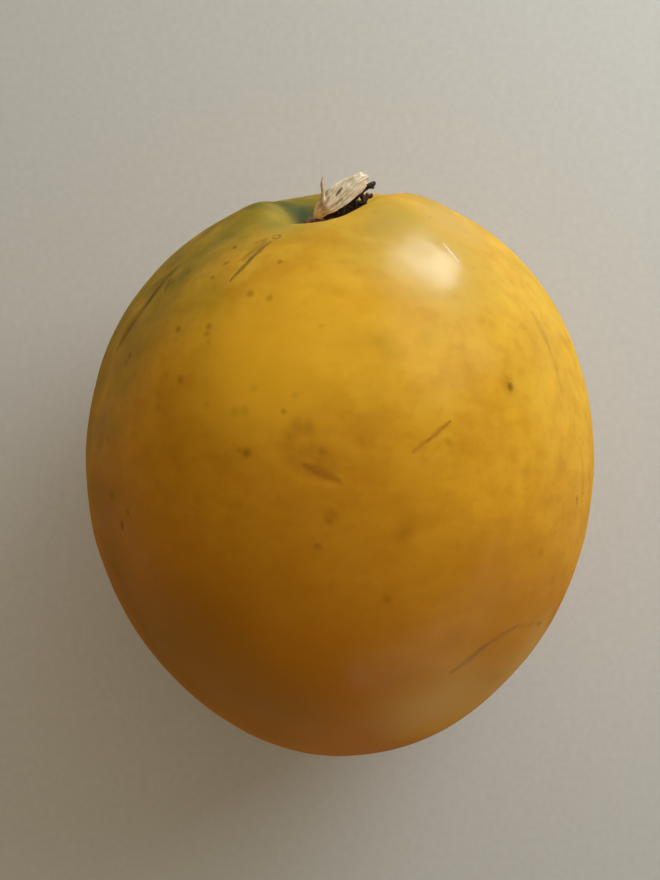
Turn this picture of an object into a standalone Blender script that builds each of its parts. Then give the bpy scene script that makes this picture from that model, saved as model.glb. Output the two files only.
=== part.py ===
"""A yellow passion fruit as picked, lying on its side with the dried flower still on its stem end.

The fruit is modelled upright, with its stem along +Z and the side that faces up at rest along -Y.
It is then laid back and stands on a small flat spot. The dried flower is modelled in millimetres in
a frame at the foot of its cup, with the axes of the resting fruit: +Y out of the stem end, +Z up.
"""

import math
import random

import bmesh
import bpy
from mathutils import Matrix, Vector

MM = 0.001

# Fruit
FRUIT_RADIUS = 36.0 * MM
FRUIT_HALF_LENGTH = 40.8 * MM
STEM_END_FULLNESS = 0.03
STEM_END_SQUARENESS = 2.14
BLOSSOM_END_SQUARENESS = 1.9
END_BLEND = 2.5
LOBE_COUNT = 3
LOBE_HEIGHT = 0.016
LOBE_AZIMUTH = math.radians(24)
BEND_EVEN = 0.026
BEND_ODD = 0.01
FRUIT_SEGMENTS = 72
FRUIT_RINGS = 46
RING_CROWDING = 1.35
REST_TILT = math.radians(20)
FLAT_SPOT_DEPTH = 0.8 * MM

# Stem cavity
CAVITY_POLAR = math.radians(10)
CAVITY_AZIMUTH = math.radians(-120)
CAVITY_DEPTH = 5.8 * MM
CAVITY_RADIUS = 4.7 * MM
CAVITY_STEEPNESS = 2.5
# Creases that run out of the cavity: azimuth in degrees, then depth, length and width in mm
CREASES = (
    (32, 1.3, 9.0, 3.4),
    (118, 1.1, 10.0, 4.5),
    (-140, 0.5, 11.0, 3.4),
)
# Full shoulders round the cavity: azimuth in degrees, then distance, height and width in mm
SHOULDERS = (
    (-34, 8.8, 1.5, 5.0),
    (172, 9.0, 0.8, 4.5),
)

# Style scar at the blossom end
SCAR_RADIUS = 1.6 * MM
SCAR_HEIGHT = 0.7 * MM

# Dried flower: where its frame sits from the middle of the fruit, in mm
FLOWER_PLACE = (-2.85, 33.54, 19.5)
PIECE_GAP = 0.3

# Stalk: points of its centre line and the radius at each, in mm
STALK = (
    (1.9, -3.6, -4.1, 1.05),
    (1.2, -2.7, -3.3, 0.85),
    (0.2, -1.7, -2.3, 0.7),
    (-0.6, -0.9, -1.5, 0.95),
    (-1.2, -0.3, -1.0, 0.8),
)
STALK_SIDES = 16
STALK_RINGS = 14
STALK_LUMPS = 0.06
SOCKET_DEPTH = 0.8

# Calyx: a small cup and the dried sepals that grow from it
CUP_FOOT = (-0.45, 0.1, -0.35)
CUP_TOP = (1.35, 1.4, 1.2)
CUP_RADIUS = 0.98
PAPER_THICKNESS = 0.6
SEPAL_ROWS = 14
SEPAL_COLUMNS = 8
# Each sepal is a row of centre points with the half width there in mm, then its cupping and its twist in degrees
SEPALS = {
    "front_sepal": (
        ((0.3, 0.6, 0.5, 0.6), (1.4, 1.3, 1.3, 0.85), (2.6, 2.1, 1.9, 1.1), (4.3, 3.2, 2.4, 1.35), (6.5, 4.5, 2.8, 1.0)),
        50,
        6,
    ),
    "rear_sepal": (
        ((0.3, 0.7, 0.2, 0.5), (1.1, 1.6, 0.7, 0.7), (2.1, 2.7, 1.2, 1.0), (3.3, 3.8, 1.6, 1.0), (4.8, 4.9, 1.8, 0.5)),
        62,
        -12,
    ),
    "under_sepal": (
        ((0.3, 0.6, -0.1, 0.5), (1.5, 1.2, 0.1, 0.9), (3.0, 2.0, 0.5, 1.3), (4.6, 3.0, 0.8, 1.2), (6.0, 3.6, 1.0, 0.6)),
        40,
        14,
    ),
    "upright_sliver": (
        ((0.4, 0.8, 0.4, 0.34), (0.6, 2.0, 0.9, 0.32), (0.6, 3.4, 1.3, 0.3), (0.8, 5.0, 1.5, 0.24)),
        10,
        0,
    ),
}

# Corona: a shrivelled core and the dark threads that grow from it, as points with a radius in mm
CORONA_CORE = (
    (1.2, -0.3, -1.2, 0.4),
    (2.2, 0.3, -1.0, 0.6),
    (3.5, 1.0, -0.8, 0.65),
    (4.7, 1.6, -0.6, 0.55),
    (5.6, 2.1, -0.5, 0.36),
)
CORE_SIDES = 14
CORE_RINGS = 20
CORE_LUMPS = 0.16
THREADS = (
    ((5.0, 1.5, -0.7, 0.36), (5.9, 1.6, -0.5, 0.32), (6.5, 2.3, -0.2, 0.34), (7.3, 2.9, 0.0, 0.3)),
    ((4.6, 1.5, -0.7, 0.34), (5.6, 2.4, -0.3, 0.32), (6.3, 3.2, 0.1, 0.32), (6.7, 3.8, 0.4, 0.42), (7.5, 4.3, 0.6, 0.32)),
    ((6.6, 3.7, 0.4, 0.36), (7.1, 3.7, 0.5, 0.34), (7.7, 3.5, 0.5, 0.3)),
    ((4.0, 1.2, -0.8, 0.34), (4.8, 2.2, -0.9, 0.32), (5.3, 2.6, -0.7, 0.3), (6.1, 2.7, -0.4, 0.3)),
    ((2.4, 0.4, -1.0, 0.34), (3.0, -0.1, -1.2, 0.34), (3.8, 0.3, -1.4, 0.32), (4.4, 0.5, -1.3, 0.3)),
    ((3.2, 0.9, -1.0, 0.34), (3.7, 1.9, -1.3, 0.34), (4.7, 2.2, -1.7, 0.32), (5.4, 2.9, -1.8, 0.3)),
    ((2.6, 0.6, -1.1, 0.34), (2.7, 1.5, -1.6, 0.34), (3.4, 2.3, -1.9, 0.32), (4.2, 3.0, -2.1, 0.3)),
    ((4.4, 1.4, -0.8, 0.34), (5.2, 1.0, -1.2, 0.32), (6.0, 1.2, -1.5, 0.3)),
    ((2.0, 0.3, -1.1, 0.32), (2.0, 1.2, -1.4, 0.32), (2.5, 2.2, -1.5, 0.3)),
)
THREAD_SIDES = 8
THREAD_RINGS = 10
THREAD_LUMPS = 0.12


def new_collection(name):
    collection = bpy.data.collections.new(name)
    bpy.context.scene.collection.children.link(collection)
    return collection


def new_object(name, mesh, collection, parent=None):
    item = bpy.data.objects.new(name, mesh)
    collection.objects.link(item)
    item.parent = parent
    return item


def mesh_from(bm, name):
    mesh = bpy.data.meshes.new(name)
    bm.to_mesh(mesh)
    bm.free()
    return mesh


def new_material(name, colour, roughness):
    material = bpy.data.materials.new(name)
    material.use_nodes = True
    shader = material.node_tree.nodes["Principled BSDF"]
    shader.inputs["Base Color"].default_value = (*colour, 1.0)
    shader.inputs["Roughness"].default_value = roughness
    shader.inputs["Metallic"].default_value = 0.0
    return material


def direction_of(polar, azimuth):
    """Unit vector at a polar angle from +Z and an azimuth from +X."""
    sine = math.sin(polar)
    return Vector((sine * math.cos(azimuth), sine * math.sin(azimuth), math.cos(polar)))


def bell(distance, width):
    return math.exp(-((distance / width) ** 2))


CAVITY_DIRECTION = direction_of(CAVITY_POLAR, CAVITY_AZIMUTH)


def egg_point(direction):
    """The bare fruit without its stem cavity: a squared-off egg with three faint lobes and a bent axis."""
    cosine = direction.z
    sine = math.hypot(direction.x, direction.y)
    azimuth = math.atan2(direction.y, direction.x)
    stem_share = 0.5 * (1 + math.tanh(END_BLEND * cosine))
    squareness = BLOSSOM_END_SQUARENESS + (STEM_END_SQUARENESS - BLOSSOM_END_SQUARENESS) * stem_share
    reach = (sine**squareness + abs(cosine) ** squareness) ** (-1 / squareness)
    lobe = 1 + LOBE_HEIGHT * sine * math.cos(LOBE_COUNT * (azimuth - LOBE_AZIMUTH))
    across = FRUIT_RADIUS * reach * sine * (1 + STEM_END_FULLNESS * cosine) * lobe
    bend = FRUIT_RADIUS * (BEND_EVEN * cosine**2 + BEND_ODD * cosine**3)
    return Vector(
        (
            across * math.cos(azimuth) + bend,
            across * math.sin(azimuth),
            FRUIT_HALF_LENGTH * reach * cosine,
        )
    )


def cavity_relief(direction):
    """How far the surface rises at the stem end: the cavity, the furrow that leads out of it and the full shoulder."""
    around = CAVITY_DIRECTION.rotation_difference(Vector((0, 0, 1))) @ direction
    if around.z < 0:
        return 0.0
    distance = FRUIT_RADIUS * math.acos(min(1.0, around.z))
    azimuth = math.atan2(around.y, around.x)
    rise = -CAVITY_DEPTH * math.exp(-((distance / CAVITY_RADIUS) ** CAVITY_STEEPNESS))
    for bearing, depth, length, width in CREASES:
        turn = azimuth - math.radians(bearing)
        along = distance * math.cos(turn)
        beside = distance * math.sin(turn)
        reach = length if along > 0 else width
        rise -= depth * MM * bell(along, reach * MM) * bell(beside, width * MM)
    for bearing, away, height, width in SHOULDERS:
        turn = azimuth - math.radians(bearing)
        along = distance * math.cos(turn) - away * MM
        beside = distance * math.sin(turn)
        rise += height * MM * bell(math.hypot(along, beside), width * MM)
    return rise


def fruit_point(direction):
    scar = SCAR_HEIGHT * bell(FRUIT_RADIUS * math.acos(max(-1.0, min(1.0, -direction.z))), SCAR_RADIUS)
    return egg_point(direction) + cavity_relief(direction) * CAVITY_DIRECTION - Vector((0, 0, scar))


def make_fruit(collection, parent, slab):
    bm = bmesh.new()
    bmesh.ops.create_uvsphere(bm, u_segments=FRUIT_SEGMENTS, v_segments=FRUIT_RINGS, radius=1.0)
    to_cavity = Vector((0, 0, 1)).rotation_difference(CAVITY_DIRECTION)
    for vertex in bm.verts:
        polar = math.acos(max(-1.0, min(1.0, vertex.co.z)))
        azimuth = math.atan2(vertex.co.y, vertex.co.x)
        crowded = math.pi * (polar / math.pi) ** RING_CROWDING
        vertex.co = fruit_point(to_cavity @ direction_of(crowded, azimuth))
    fruit = new_object("fruit", mesh_from(bm, "fruit"), collection, parent)
    fruit.rotation_euler.x = REST_TILT - math.pi / 2
    fruit.data.materials.append(new_material("rind", (0.72, 0.40, 0.04), 0.35))
    fruit.data.shade_smooth()
    joined(fruit, slab, "DIFFERENCE")
    return fruit


def make_floor_slab(collection):
    """The cutter that takes the flat spot off the fruit. Its top is the surface that the fruit lies on."""
    side, height = 60 * MM, 10 * MM
    bm = bmesh.new()
    bmesh.ops.create_cube(bm, size=1.0)
    bmesh.ops.scale(bm, verts=bm.verts, vec=(side, side, height))
    bmesh.ops.translate(bm, verts=bm.verts, vec=(0, 0, -height / 2))
    return hide(new_object("floor_slab", mesh_from(bm, "floor_slab"), collection))


def hide(item):
    item.hide_render = True
    item.display_type = "WIRE"
    return item


def joined(item, other, operation="UNION"):
    step = item.modifiers.new(f"{operation.title()} {other.name}", "BOOLEAN")
    step.operation = operation
    step.object = other
    return step


def along_route(route, share):
    """Point and last value at a share of the way along a smooth curve through the points of a route."""
    spans = len(route) - 1
    place = min(share * spans, spans - 1e-6)
    first = int(place)
    mix = place - first
    rows = [route[max(0, min(spans, first + step))] for step in (-1, 0, 1, 2)]
    weights = (
        -0.5 * mix + mix**2 - 0.5 * mix**3,
        1 - 2.5 * mix**2 + 1.5 * mix**3,
        0.5 * mix + 2 * mix**2 - 1.5 * mix**3,
        -0.5 * mix**2 + 0.5 * mix**3,
    )
    values = [sum(weight * row[i] for weight, row in zip(weights, rows)) for i in range(4)]
    return Vector(values[:3]) * MM, values[3] * MM


def cross_axes(route, share, side_hint):
    """Two unit vectors across the route at this share of the way, the first one near the side hint."""
    ahead = along_route(route, min(1.0, share + 0.02))[0]
    behind = along_route(route, max(0.0, share - 0.02))[0]
    forward = (ahead - behind).normalized()
    side = (side_hint - side_hint.dot(forward) * forward).normalized()
    return side, forward.cross(side)


def add_tube(bm, route, sides, rings, lumps, seed):
    """A closed crooked tube with rounded ends and a lumpy skin."""
    chance = random.Random(seed)
    side_hint = Vector((0.3, -0.2, 1.0))
    rows = []
    for ring in range(rings):
        share = ring / (rings - 1)
        middle, radius = along_route(route, share)
        side, other = cross_axes(route, share, side_hint)
        end_share = 0.55 if ring in (0, rings - 1) else 1.0
        row = []
        for step in range(sides):
            angle = math.tau * step / sides
            swell = end_share * radius * (1 + chance.uniform(-lumps, lumps))
            row.append(bm.verts.new(middle + swell * (math.cos(angle) * side + math.sin(angle) * other)))
        rows.append(row)
    for row, after in zip(rows, rows[1:]):
        for step in range(sides):
            beside = (step + 1) % sides
            bm.faces.new((row[step], row[beside], after[beside], after[step]))
    for row, share, edge_share, turn in ((rows[0], 0.0, 0.02, -1), (rows[-1], 1.0, 0.98, 1)):
        end, radius = along_route(route, share)
        outward = (end - along_route(route, edge_share)[0]).normalized()
        tip = bm.verts.new(end + 0.45 * radius * outward)
        for step in range(sides):
            corners = (row[step], row[(step + 1) % sides], tip)
            bm.faces.new(corners if turn > 0 else corners[::-1])


def make_tubes(name, routes, sides, rings, lumps, collection, parent):
    bm = bmesh.new()
    for seed, route in enumerate(routes):
        add_tube(bm, route, sides, rings, lumps, seed)
    bmesh.ops.recalc_face_normals(bm, faces=bm.faces)
    tubes = new_object(name, mesh_from(bm, name), collection, parent)
    tubes.data.shade_smooth()
    return tubes


def make_sepal(name, route, cupping, twist, collection, parent):
    """A thin blade that is arched across and twisted along. Solidify gives it its thickness."""
    bm = bmesh.new()
    rows = []
    for row in range(SEPAL_ROWS + 1):
        share = row / SEPAL_ROWS
        middle, half_width = along_route(route, share)
        side, outward = cross_axes(route, share, Vector((-0.62, 0.78, -0.1)))
        turn = math.radians(twist) * (share - 0.5)
        across = math.cos(turn) * side + math.sin(turn) * outward
        upward = math.cos(turn) * outward - math.sin(turn) * side
        bulge = half_width / max(0.05, math.sin(math.radians(cupping)))
        line = []
        for column in range(SEPAL_COLUMNS + 1):
            angle = math.radians(cupping) * (2 * column / SEPAL_COLUMNS - 1)
            offset = bulge * math.sin(angle) * across + bulge * (math.cos(angle) - 1) * upward
            line.append(bm.verts.new(middle + offset))
        rows.append(line)
    for line, after in zip(rows, rows[1:]):
        for column in range(SEPAL_COLUMNS):
            bm.faces.new((line[column], line[column + 1], after[column + 1], after[column]))
    sepal = hide(new_object(name, mesh_from(bm, name), collection, parent))
    sepal.data.shade_smooth()
    paper = sepal.modifiers.new("Paper", "SOLIDIFY")
    paper.thickness = PAPER_THICKNESS * MM
    paper.offset = 0.0
    paper.use_even_offset = True
    return sepal


def make_stalk(collection, cutters, flower, fruit):
    stalk = make_tubes("stalk", [STALK], STALK_SIDES, STALK_RINGS, STALK_LUMPS, collection, flower)
    stalk.data.materials.append(new_material("stalk_skin", (0.16, 0.08, 0.06), 0.7))
    grown = [(x, y, z, radius + PIECE_GAP) for x, y, z, radius in STALK[:3]]
    foot = Vector(grown[0][:3])
    inward = (foot - Vector(grown[1][:3])).normalized() * PIECE_GAP
    grown[0] = (*(foot + inward), grown[0][3])
    socket = hide(make_tubes("stalk_socket", [grown], STALK_SIDES, 6, 0.0, cutters, flower))
    joined(fruit, socket, "DIFFERENCE")


def make_calyx(collection, cutters, flower):
    cup_rows = []
    for share, swell in ((0.0, 0.62), (0.2, 0.92), (0.5, 1.0), (0.8, 0.95), (1.0, 0.8)):
        point = Vector(CUP_FOOT).lerp(Vector(CUP_TOP), share)
        cup_rows.append((*point, CUP_RADIUS * swell))
    calyx = make_tubes("dry_calyx", [cup_rows], 18, 12, 0.02, collection, flower)
    calyx.data.materials.append(new_material("dry_paper", (0.62, 0.49, 0.32), 0.6))
    for name, (route, cupping, twist) in SEPALS.items():
        joined(calyx, make_sepal(name, route, cupping, twist, cutters, flower))


def make_corona(collection, cutters, flower):
    corona = make_tubes("dry_corona", [CORONA_CORE], CORE_SIDES, CORE_RINGS, CORE_LUMPS, collection, flower)
    corona.data.materials.append(new_material("dark_thread", (0.035, 0.02, 0.014), 0.8))
    for number, route in enumerate(THREADS, 1):
        name = f"thread_{number}"
        thread = make_tubes(name, [route], THREAD_SIDES, THREAD_RINGS, THREAD_LUMPS, cutters, flower)
        joined(corona, hide(thread))


def stand_on_origin(root, fruit, parts):
    """Put the flat spot at height zero and the middle of the whole object's box over the origin."""
    bpy.context.view_layer.update()
    lowest = min((fruit.matrix_world @ vertex.co).z for vertex in fruit.data.vertices)
    root.location.z = -lowest - FLAT_SPOT_DEPTH
    bpy.context.view_layer.update()
    depsgraph = bpy.context.evaluated_depsgraph_get()
    points = []
    for item in parts.objects:
        if item.type == "MESH":
            shape = item.evaluated_get(depsgraph)
            points += [shape.matrix_world @ vertex.co for vertex in shape.data.vertices]
    for axis in (0, 1):
        values = [point[axis] for point in points]
        root.location[axis] = -(min(values) + max(values)) / 2


def main():
    for item in list(bpy.data.objects):
        bpy.data.objects.remove(item)
    parts = new_collection("passion_fruit")
    cutters = new_collection("cutters")
    root = new_object("rest_frame", None, parts)
    slab = make_floor_slab(cutters)
    fruit = make_fruit(parts, root, slab)
    flower = new_object("flower_frame", None, parts, root)
    flower.location = Vector(FLOWER_PLACE) * MM
    make_stalk(parts, cutters, flower, fruit)
    make_calyx(parts, cutters, flower)
    make_corona(parts, cutters, flower)
    stand_on_origin(root, fruit, parts)


main()
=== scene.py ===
import bpy
import math
import random
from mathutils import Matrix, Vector


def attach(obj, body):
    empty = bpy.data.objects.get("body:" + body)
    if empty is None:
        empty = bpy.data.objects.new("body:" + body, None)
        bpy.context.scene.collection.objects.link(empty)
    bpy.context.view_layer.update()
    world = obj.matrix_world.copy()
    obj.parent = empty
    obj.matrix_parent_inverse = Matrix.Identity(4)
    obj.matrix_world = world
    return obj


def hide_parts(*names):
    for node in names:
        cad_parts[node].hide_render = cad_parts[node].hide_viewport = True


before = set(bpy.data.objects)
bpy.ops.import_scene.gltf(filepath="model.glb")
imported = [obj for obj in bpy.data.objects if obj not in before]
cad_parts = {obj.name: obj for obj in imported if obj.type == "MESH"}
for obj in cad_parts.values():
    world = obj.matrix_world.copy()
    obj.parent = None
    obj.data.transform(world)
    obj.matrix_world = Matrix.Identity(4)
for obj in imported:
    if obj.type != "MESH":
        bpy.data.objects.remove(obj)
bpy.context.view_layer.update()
scene = bpy.context.scene
scene.view_settings.view_transform = "Standard"
mm = 0.001
print("frame loaded")

# The camera looks almost straight down on the fruit. Its picture is taken as 660 by 880.
cameraSettings = {
    "middle": (-0.16, -0.46, 34.75),  # middle of the fruit, mm
    "offset": (-1.15, 5.55, 176.8),   # right, up and back from there, mm
    "tilt": 4.0,                      # degrees from straight down
    "lens": 50.0,
    "picture": (660, 880),
}
tilt = math.radians(cameraSettings["tilt"])
viewRight = Vector((1, 0, 0))
viewUp = Vector((0, math.cos(tilt), math.sin(tilt)))
viewForward = Vector((0, math.sin(tilt), -math.cos(tilt)))
fruitMiddle = Vector(cameraSettings["middle"]) * mm
sideways, upwards, away = cameraSettings["offset"]
cameraPlace = fruitMiddle + (viewRight * sideways + viewUp * upwards - viewForward * away) * mm
bpy.ops.object.camera_add(location=cameraPlace, rotation=(tilt, 0, 0))
camera = bpy.context.object
camera.name = "photoCamera"
camera.data.lens = cameraSettings["lens"]
camera.data.clip_start = 0.005
scene.camera = camera
print("camera set")


def photoRay(across, down):
    # direction from the camera through a place in the picture
    width, height = cameraSettings["picture"]
    focal = height * cameraSettings["lens"] / camera.data.sensor_width
    toRight = viewRight * (across - width / 2) / focal
    toTop = viewUp * (down - height / 2) / focal
    return (toRight - toTop + viewForward).normalized()


def photoPoint(across, down, lift):
    # where that line of sight is lift mm above the middle of the fruit
    ray = photoRay(across, down)
    return cameraPlace + ray * ((fruitMiddle.z + lift * mm - cameraPlace.z) / ray.z)


def skinPoint(skin, across, down):
    # where that line of sight meets the skin, and the way the skin faces there
    return skin.ray_cast(cameraPlace, photoRay(across, down))[1:3]


def markPlace(skin, place):
    # a place in the picture, or one in mm from the middle of the fruit where the picture doesn't show it
    if len(place) == 3:
        return tuple(fruitMiddle + Vector(place) * mm)
    return tuple(skinPoint(skin, *place)[0])


def clearSelection():
    if bpy.context.object and bpy.context.object.mode != "OBJECT":
        bpy.ops.object.mode_set(mode="OBJECT")
    bpy.ops.object.select_all(action="DESELECT")


def pick(piece):
    clearSelection()
    piece.select_set(True)
    bpy.context.view_layer.objects.active = piece


def applyAll(piece):
    pick(piece)
    for name in [modifier.name for modifier in piece.modifiers]:
        bpy.ops.object.modifier_apply(modifier=name)


def subdivide(piece, levels):
    finer = piece.modifiers.new("finer", "SUBSURF")
    finer.levels = levels
    finer.render_levels = levels
    applyAll(piece)


def roughen(piece, reliefs):
    # gentle unevenness from cloud textures, given as size and height in mm
    for size, height in reliefs:
        cloud = bpy.data.textures.new(f"{piece.name}Cloud", "CLOUDS")
        cloud.noise_scale = size * mm
        cloud.noise_depth = 2
        relief = piece.modifiers.new("relief", "DISPLACE")
        relief.texture = cloud
        relief.texture_coords = "LOCAL"
        relief.strength = height * mm
        relief.mid_level = 0.5
        applyAll(piece)


# Shader helpers
def addNode(tree, kind, place, inputs=None, **settings):
    item = tree.nodes.new(kind)
    item.location = (place[0] * 200, place[1] * 200)
    for name, value in settings.items():
        setattr(item, name, value)
    for name, value in (inputs or {}).items():
        putIn(tree, item.inputs[name], value)
    return item


def newGroup(name, inputs, outputs):
    group = bpy.data.node_groups.new(name, "ShaderNodeTree")
    for label, kind in inputs:
        group.interface.new_socket(label, in_out="INPUT", socket_type=f"NodeSocket{kind}")
    for label, kind in outputs:
        group.interface.new_socket(label, in_out="OUTPUT", socket_type=f"NodeSocket{kind}")
    entry = addNode(group, "NodeGroupInput", (-4, 0))
    leave = addNode(group, "NodeGroupOutput", (4, 0))
    return group, entry.outputs, leave.inputs


def putIn(tree, socket, value):
    if isinstance(value, bpy.types.NodeSocket):
        tree.links.new(value, socket)
    elif isinstance(value, tuple) and socket.type == "RGBA":
        socket.default_value = (*value, 1.0)
    else:
        socket.default_value = value


def useGroup(tree, group, place, inputs):
    return addNode(tree, "ShaderNodeGroup", place, inputs, node_tree=group).outputs[0]


def doMath(tree, operation, place, first, second=0.0, clamp=False):
    item = addNode(tree, "ShaderNodeMath", place, operation=operation, use_clamp=clamp)
    putIn(tree, item.inputs[0], first)
    putIn(tree, item.inputs[1], second)
    return item.outputs[0]


def vectorMath(tree, operation, place, first, second=(0.0, 0.0, 0.0)):
    item = addNode(tree, "ShaderNodeVectorMath", place, operation=operation)
    putIn(tree, item.inputs[0], first)
    putIn(tree, item.inputs[1], second)
    return item


def mixColour(tree, place, share, first, second, blend="MIX"):
    item = addNode(tree, "ShaderNodeMix", place, data_type="RGBA", blend_type=blend)
    putIn(tree, item.inputs[0], share)
    putIn(tree, item.inputs[6], first)
    putIn(tree, item.inputs[7], second)
    return item.outputs[2]


def mapRange(tree, place, value, start, end, least=0.0, most=1.0, curve="LINEAR"):
    # value runs from start to end while the result runs from least to most
    ranges = {"Value": value, "From Min": start, "From Max": end, "To Min": least, "To Max": most}
    return addNode(tree, "ShaderNodeMapRange", place, ranges, interpolation_type=curve).outputs[0]


def scaleVector(tree, place, vector, share):
    item = addNode(tree, "ShaderNodeVectorMath", place, {0: vector, "Scale": share}, operation="SCALE")
    return item.outputs[0]


def addNoise(tree, place, point, scale, detail):
    return addNode(tree, "ShaderNodeTexNoise", place, {"Vector": point, "Scale": scale, "Detail": detail})


def newMaterial(name):
    material = bpy.data.materials.new(name)
    material.use_nodes = True
    tree = material.node_tree
    shader = tree.nodes["Principled BSDF"]
    shader.location = (1400, 0)
    tree.nodes["Material Output"].location = (1700, 0)
    return material, tree, shader


# Effects that the materials share
def makeWobble():
    # shakes a point about, so that what is drawn round it gets an uneven edge
    group, given, out = newGroup(
        "wobble", [("Point", "Vector"), ("Size", "Float"), ("Amount", "Float")], [("Point", "Vector")]
    )
    scale = doMath(group, "DIVIDE", (-3, -1), 1.0, given["Size"])
    noise = addNoise(group, (-2, 0), given["Point"], scale, 2.0)
    centred = vectorMath(group, "SUBTRACT", (-1, 0), noise.outputs["Color"], (0.5, 0.5, 0.5)).outputs[0]
    shaken = scaleVector(group, (0, 0), centred, given["Amount"])
    moved = vectorMath(group, "ADD", (1, 0), given["Point"], shaken)
    group.links.new(moved.outputs[0], out["Point"])
    return group


def makeMottle():
    # soft patches between 0 and 1, Size is the width of a patch in metres
    group, given, out = newGroup(
        "mottle",
        [("Point", "Vector"), ("Size", "Float"), ("Detail", "Float"), ("Low", "Float"), ("High", "Float")],
        [("Mask", "Float")],
    )
    scale = doMath(group, "DIVIDE", (-3, -1), 1.0, given["Size"])
    noise = addNoise(group, (-2, 0), given["Point"], scale, given["Detail"])
    spread = mapRange(group, (0, 0), noise.outputs["Fac"], given["Low"], given["High"], curve="SMOOTHSTEP")
    group.links.new(spread, out["Mask"])
    return group


def makeSpot():
    # a round patch about Middle, Softness is the share of its radius over which it fades
    inputs = [("Point", "Vector"), ("Middle", "Vector"), ("Radius", "Float"), ("Softness", "Float")]
    group, given, out = newGroup("spot", [*inputs, ("Strength", "Float")], [("Mask", "Float")])
    distance = vectorMath(group, "DISTANCE", (-2, 0), given["Point"], given["Middle"]).outputs["Value"]
    solid = doMath(group, "SUBTRACT", (-3, -1), 1.0, given["Softness"])
    inner = doMath(group, "MULTIPLY", (-2, -1), given["Radius"], solid)
    strength = given["Strength"]
    fade = mapRange(group, (0, 0), distance, given["Radius"], inner, most=strength, curve="SMOOTHSTEP")
    group.links.new(fade, out["Mask"])
    return group


def makeScratch():
    # a line from Start to End that thins out to its ends
    inputs = [("Point", "Vector"), ("Start", "Vector"), ("End", "Vector"), ("Width", "Float")]
    group, given, out = newGroup("scratch", [*inputs, ("Strength", "Float")], [("Mask", "Float")])
    along = vectorMath(group, "SUBTRACT", (-3, 1), given["End"], given["Start"]).outputs[0]
    fromStart = vectorMath(group, "SUBTRACT", (-3, 0), given["Point"], given["Start"]).outputs[0]
    projected = vectorMath(group, "DOT_PRODUCT", (-2, 0), fromStart, along).outputs["Value"]
    squared = vectorMath(group, "DOT_PRODUCT", (-2, 1), along, along).outputs["Value"]
    share = doMath(group, "DIVIDE", (-1, 0), projected, squared, clamp=True)
    foot = scaleVector(group, (0, 1), along, share)
    nearest = vectorMath(group, "ADD", (1, 1), given["Start"], foot).outputs[0]
    distance = vectorMath(group, "DISTANCE", (2, 1), given["Point"], nearest).outputs["Value"]
    fromMiddle = doMath(group, "ABSOLUTE", (1, -1), doMath(group, "SUBTRACT", (0, -1), share, 0.5))
    thinning = mapRange(group, (2, -1), fromMiddle, 0.0, 0.5, least=1.0, most=0.45)
    width = doMath(group, "MULTIPLY", (2, -2), given["Width"], thinning)
    fade = mapRange(group, (3, 0), distance, width, 0.0, most=given["Strength"], curve="SMOOTHSTEP")
    group.links.new(fade, out["Mask"])
    return group


def wobbly(tree, place, point, shake):
    # a shaken point, shake is its size and amount in mm
    size, amount = shake
    return useGroup(tree, wobbleGroup, place, {"Point": point, "Size": size * mm, "Amount": amount * mm})


def patchy(tree, place, point, look):
    # soft patches, look is their width in mm, detail, low and high
    size, detail, low, high = look
    settings = {"Point": point, "Size": size * mm, "Detail": detail, "Low": low, "High": high}
    return useGroup(tree, mottleGroup, place, settings)


def addBump(tree, place, height, strength, distance, below=None):
    # distance in mm, below is a bump that this one lies on
    settings = {"Height": height, "Strength": strength, "Distance": distance * mm}
    if below is not None:
        settings["Normal"] = below
    return addNode(tree, "ShaderNodeBump", place, settings).outputs[0]


wobbleGroup = makeWobble()
mottleGroup = makeMottle()
spotGroup = makeSpot()
scratchGroup = makeScratch()
print("shader groups made")


# Fruit
skinSettings = {
    "reliefs": ((14.0, 0.35), (4.0, 0.05)),  # size and height of the unevenness, mm
    # pushes on the skin: picture place, reach mm, height mm
    "pushes": (
        ((452, 246), 5.5, 0.22),
        ((367, 194), 6.0, -1.80),
        ((410, 200), 9.5, 0.82),
        ((266, 206), 6.5, 0.40),
        ((305, 196), 4.0, -0.30),
        ((322, 464), 5.0, -0.18),
        ((250, 262), 4.0, -0.12),
        ((553, 600), 18.0, 0.52),
        ((492, 680), 16.0, 0.50),
        ((586, 470), 16.0, 0.42),
        ((92, 470), 16.0, 0.42),
        ((180, 668), 14.0, 0.50),
        ((440, 728), 14.0, 0.30),
        ((516, 262), 14.0, -0.40),
        ((166, 270), 13.0, -0.46),
    ),
}


def makeSkin():
    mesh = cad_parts["fruit"].data.copy()
    mesh.materials.clear()
    skin = bpy.data.objects.new("fruitSkin", mesh)
    scene.collection.objects.link(skin)
    pick(skin)
    bpy.ops.mesh.customdata_custom_splitnormals_clear()
    bpy.ops.object.mode_set(mode="EDIT")
    bpy.ops.mesh.select_all(action="SELECT")
    bpy.ops.mesh.remove_doubles(threshold=0.00001)
    bpy.ops.mesh.tris_convert_to_quads()
    bpy.ops.object.mode_set(mode="OBJECT")
    subdivide(skin, 1)
    for push in skinSettings["pushes"]:
        pushSkin(skin, *push)
    subdivide(skin, 1)
    roughen(skin, skinSettings["reliefs"])
    for point in skin.data.vertices:
        point.co.z = max(point.co.z, 0.0)  # the spot that it lies on stays flat
    pick(skin)
    bpy.ops.object.shade_smooth()
    return skin


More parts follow.
